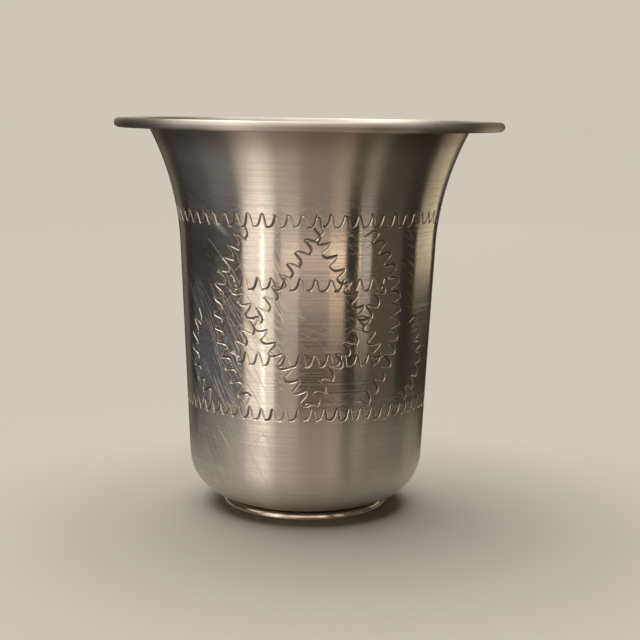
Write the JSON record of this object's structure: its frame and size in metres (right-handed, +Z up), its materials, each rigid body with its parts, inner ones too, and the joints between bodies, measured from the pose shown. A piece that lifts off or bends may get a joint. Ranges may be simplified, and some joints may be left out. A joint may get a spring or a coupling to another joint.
{
  "type": "kiddush cup",
  "caption": "Silver beaker with a flared, rolled lip, a rounded base on a soldered foot ring, and zigzag wriggle-work bands and a six-pointed star engraved round the wall.",
  "frame": {"origin": "centre of the foot ring's underside, on the surface the cup stands on", "axes": "+Z up along the cup's axis, -Y towards the front, where the engraved star is"},
  "size_m": [0.0756, 0.0756, 0.076],
  "materials": {
    "brushed_silver": "spun sterling silver, fine horizontal brush lines, light tarnish in the engraved lines",
    "ring_silver": "polished silver strip, worn bright along its outer edge"
  },
  "bodies": {
    "root": {"cup_body": "brushed_silver", "foot_ring": "ring_silver"}
  },
  "joints": []
}
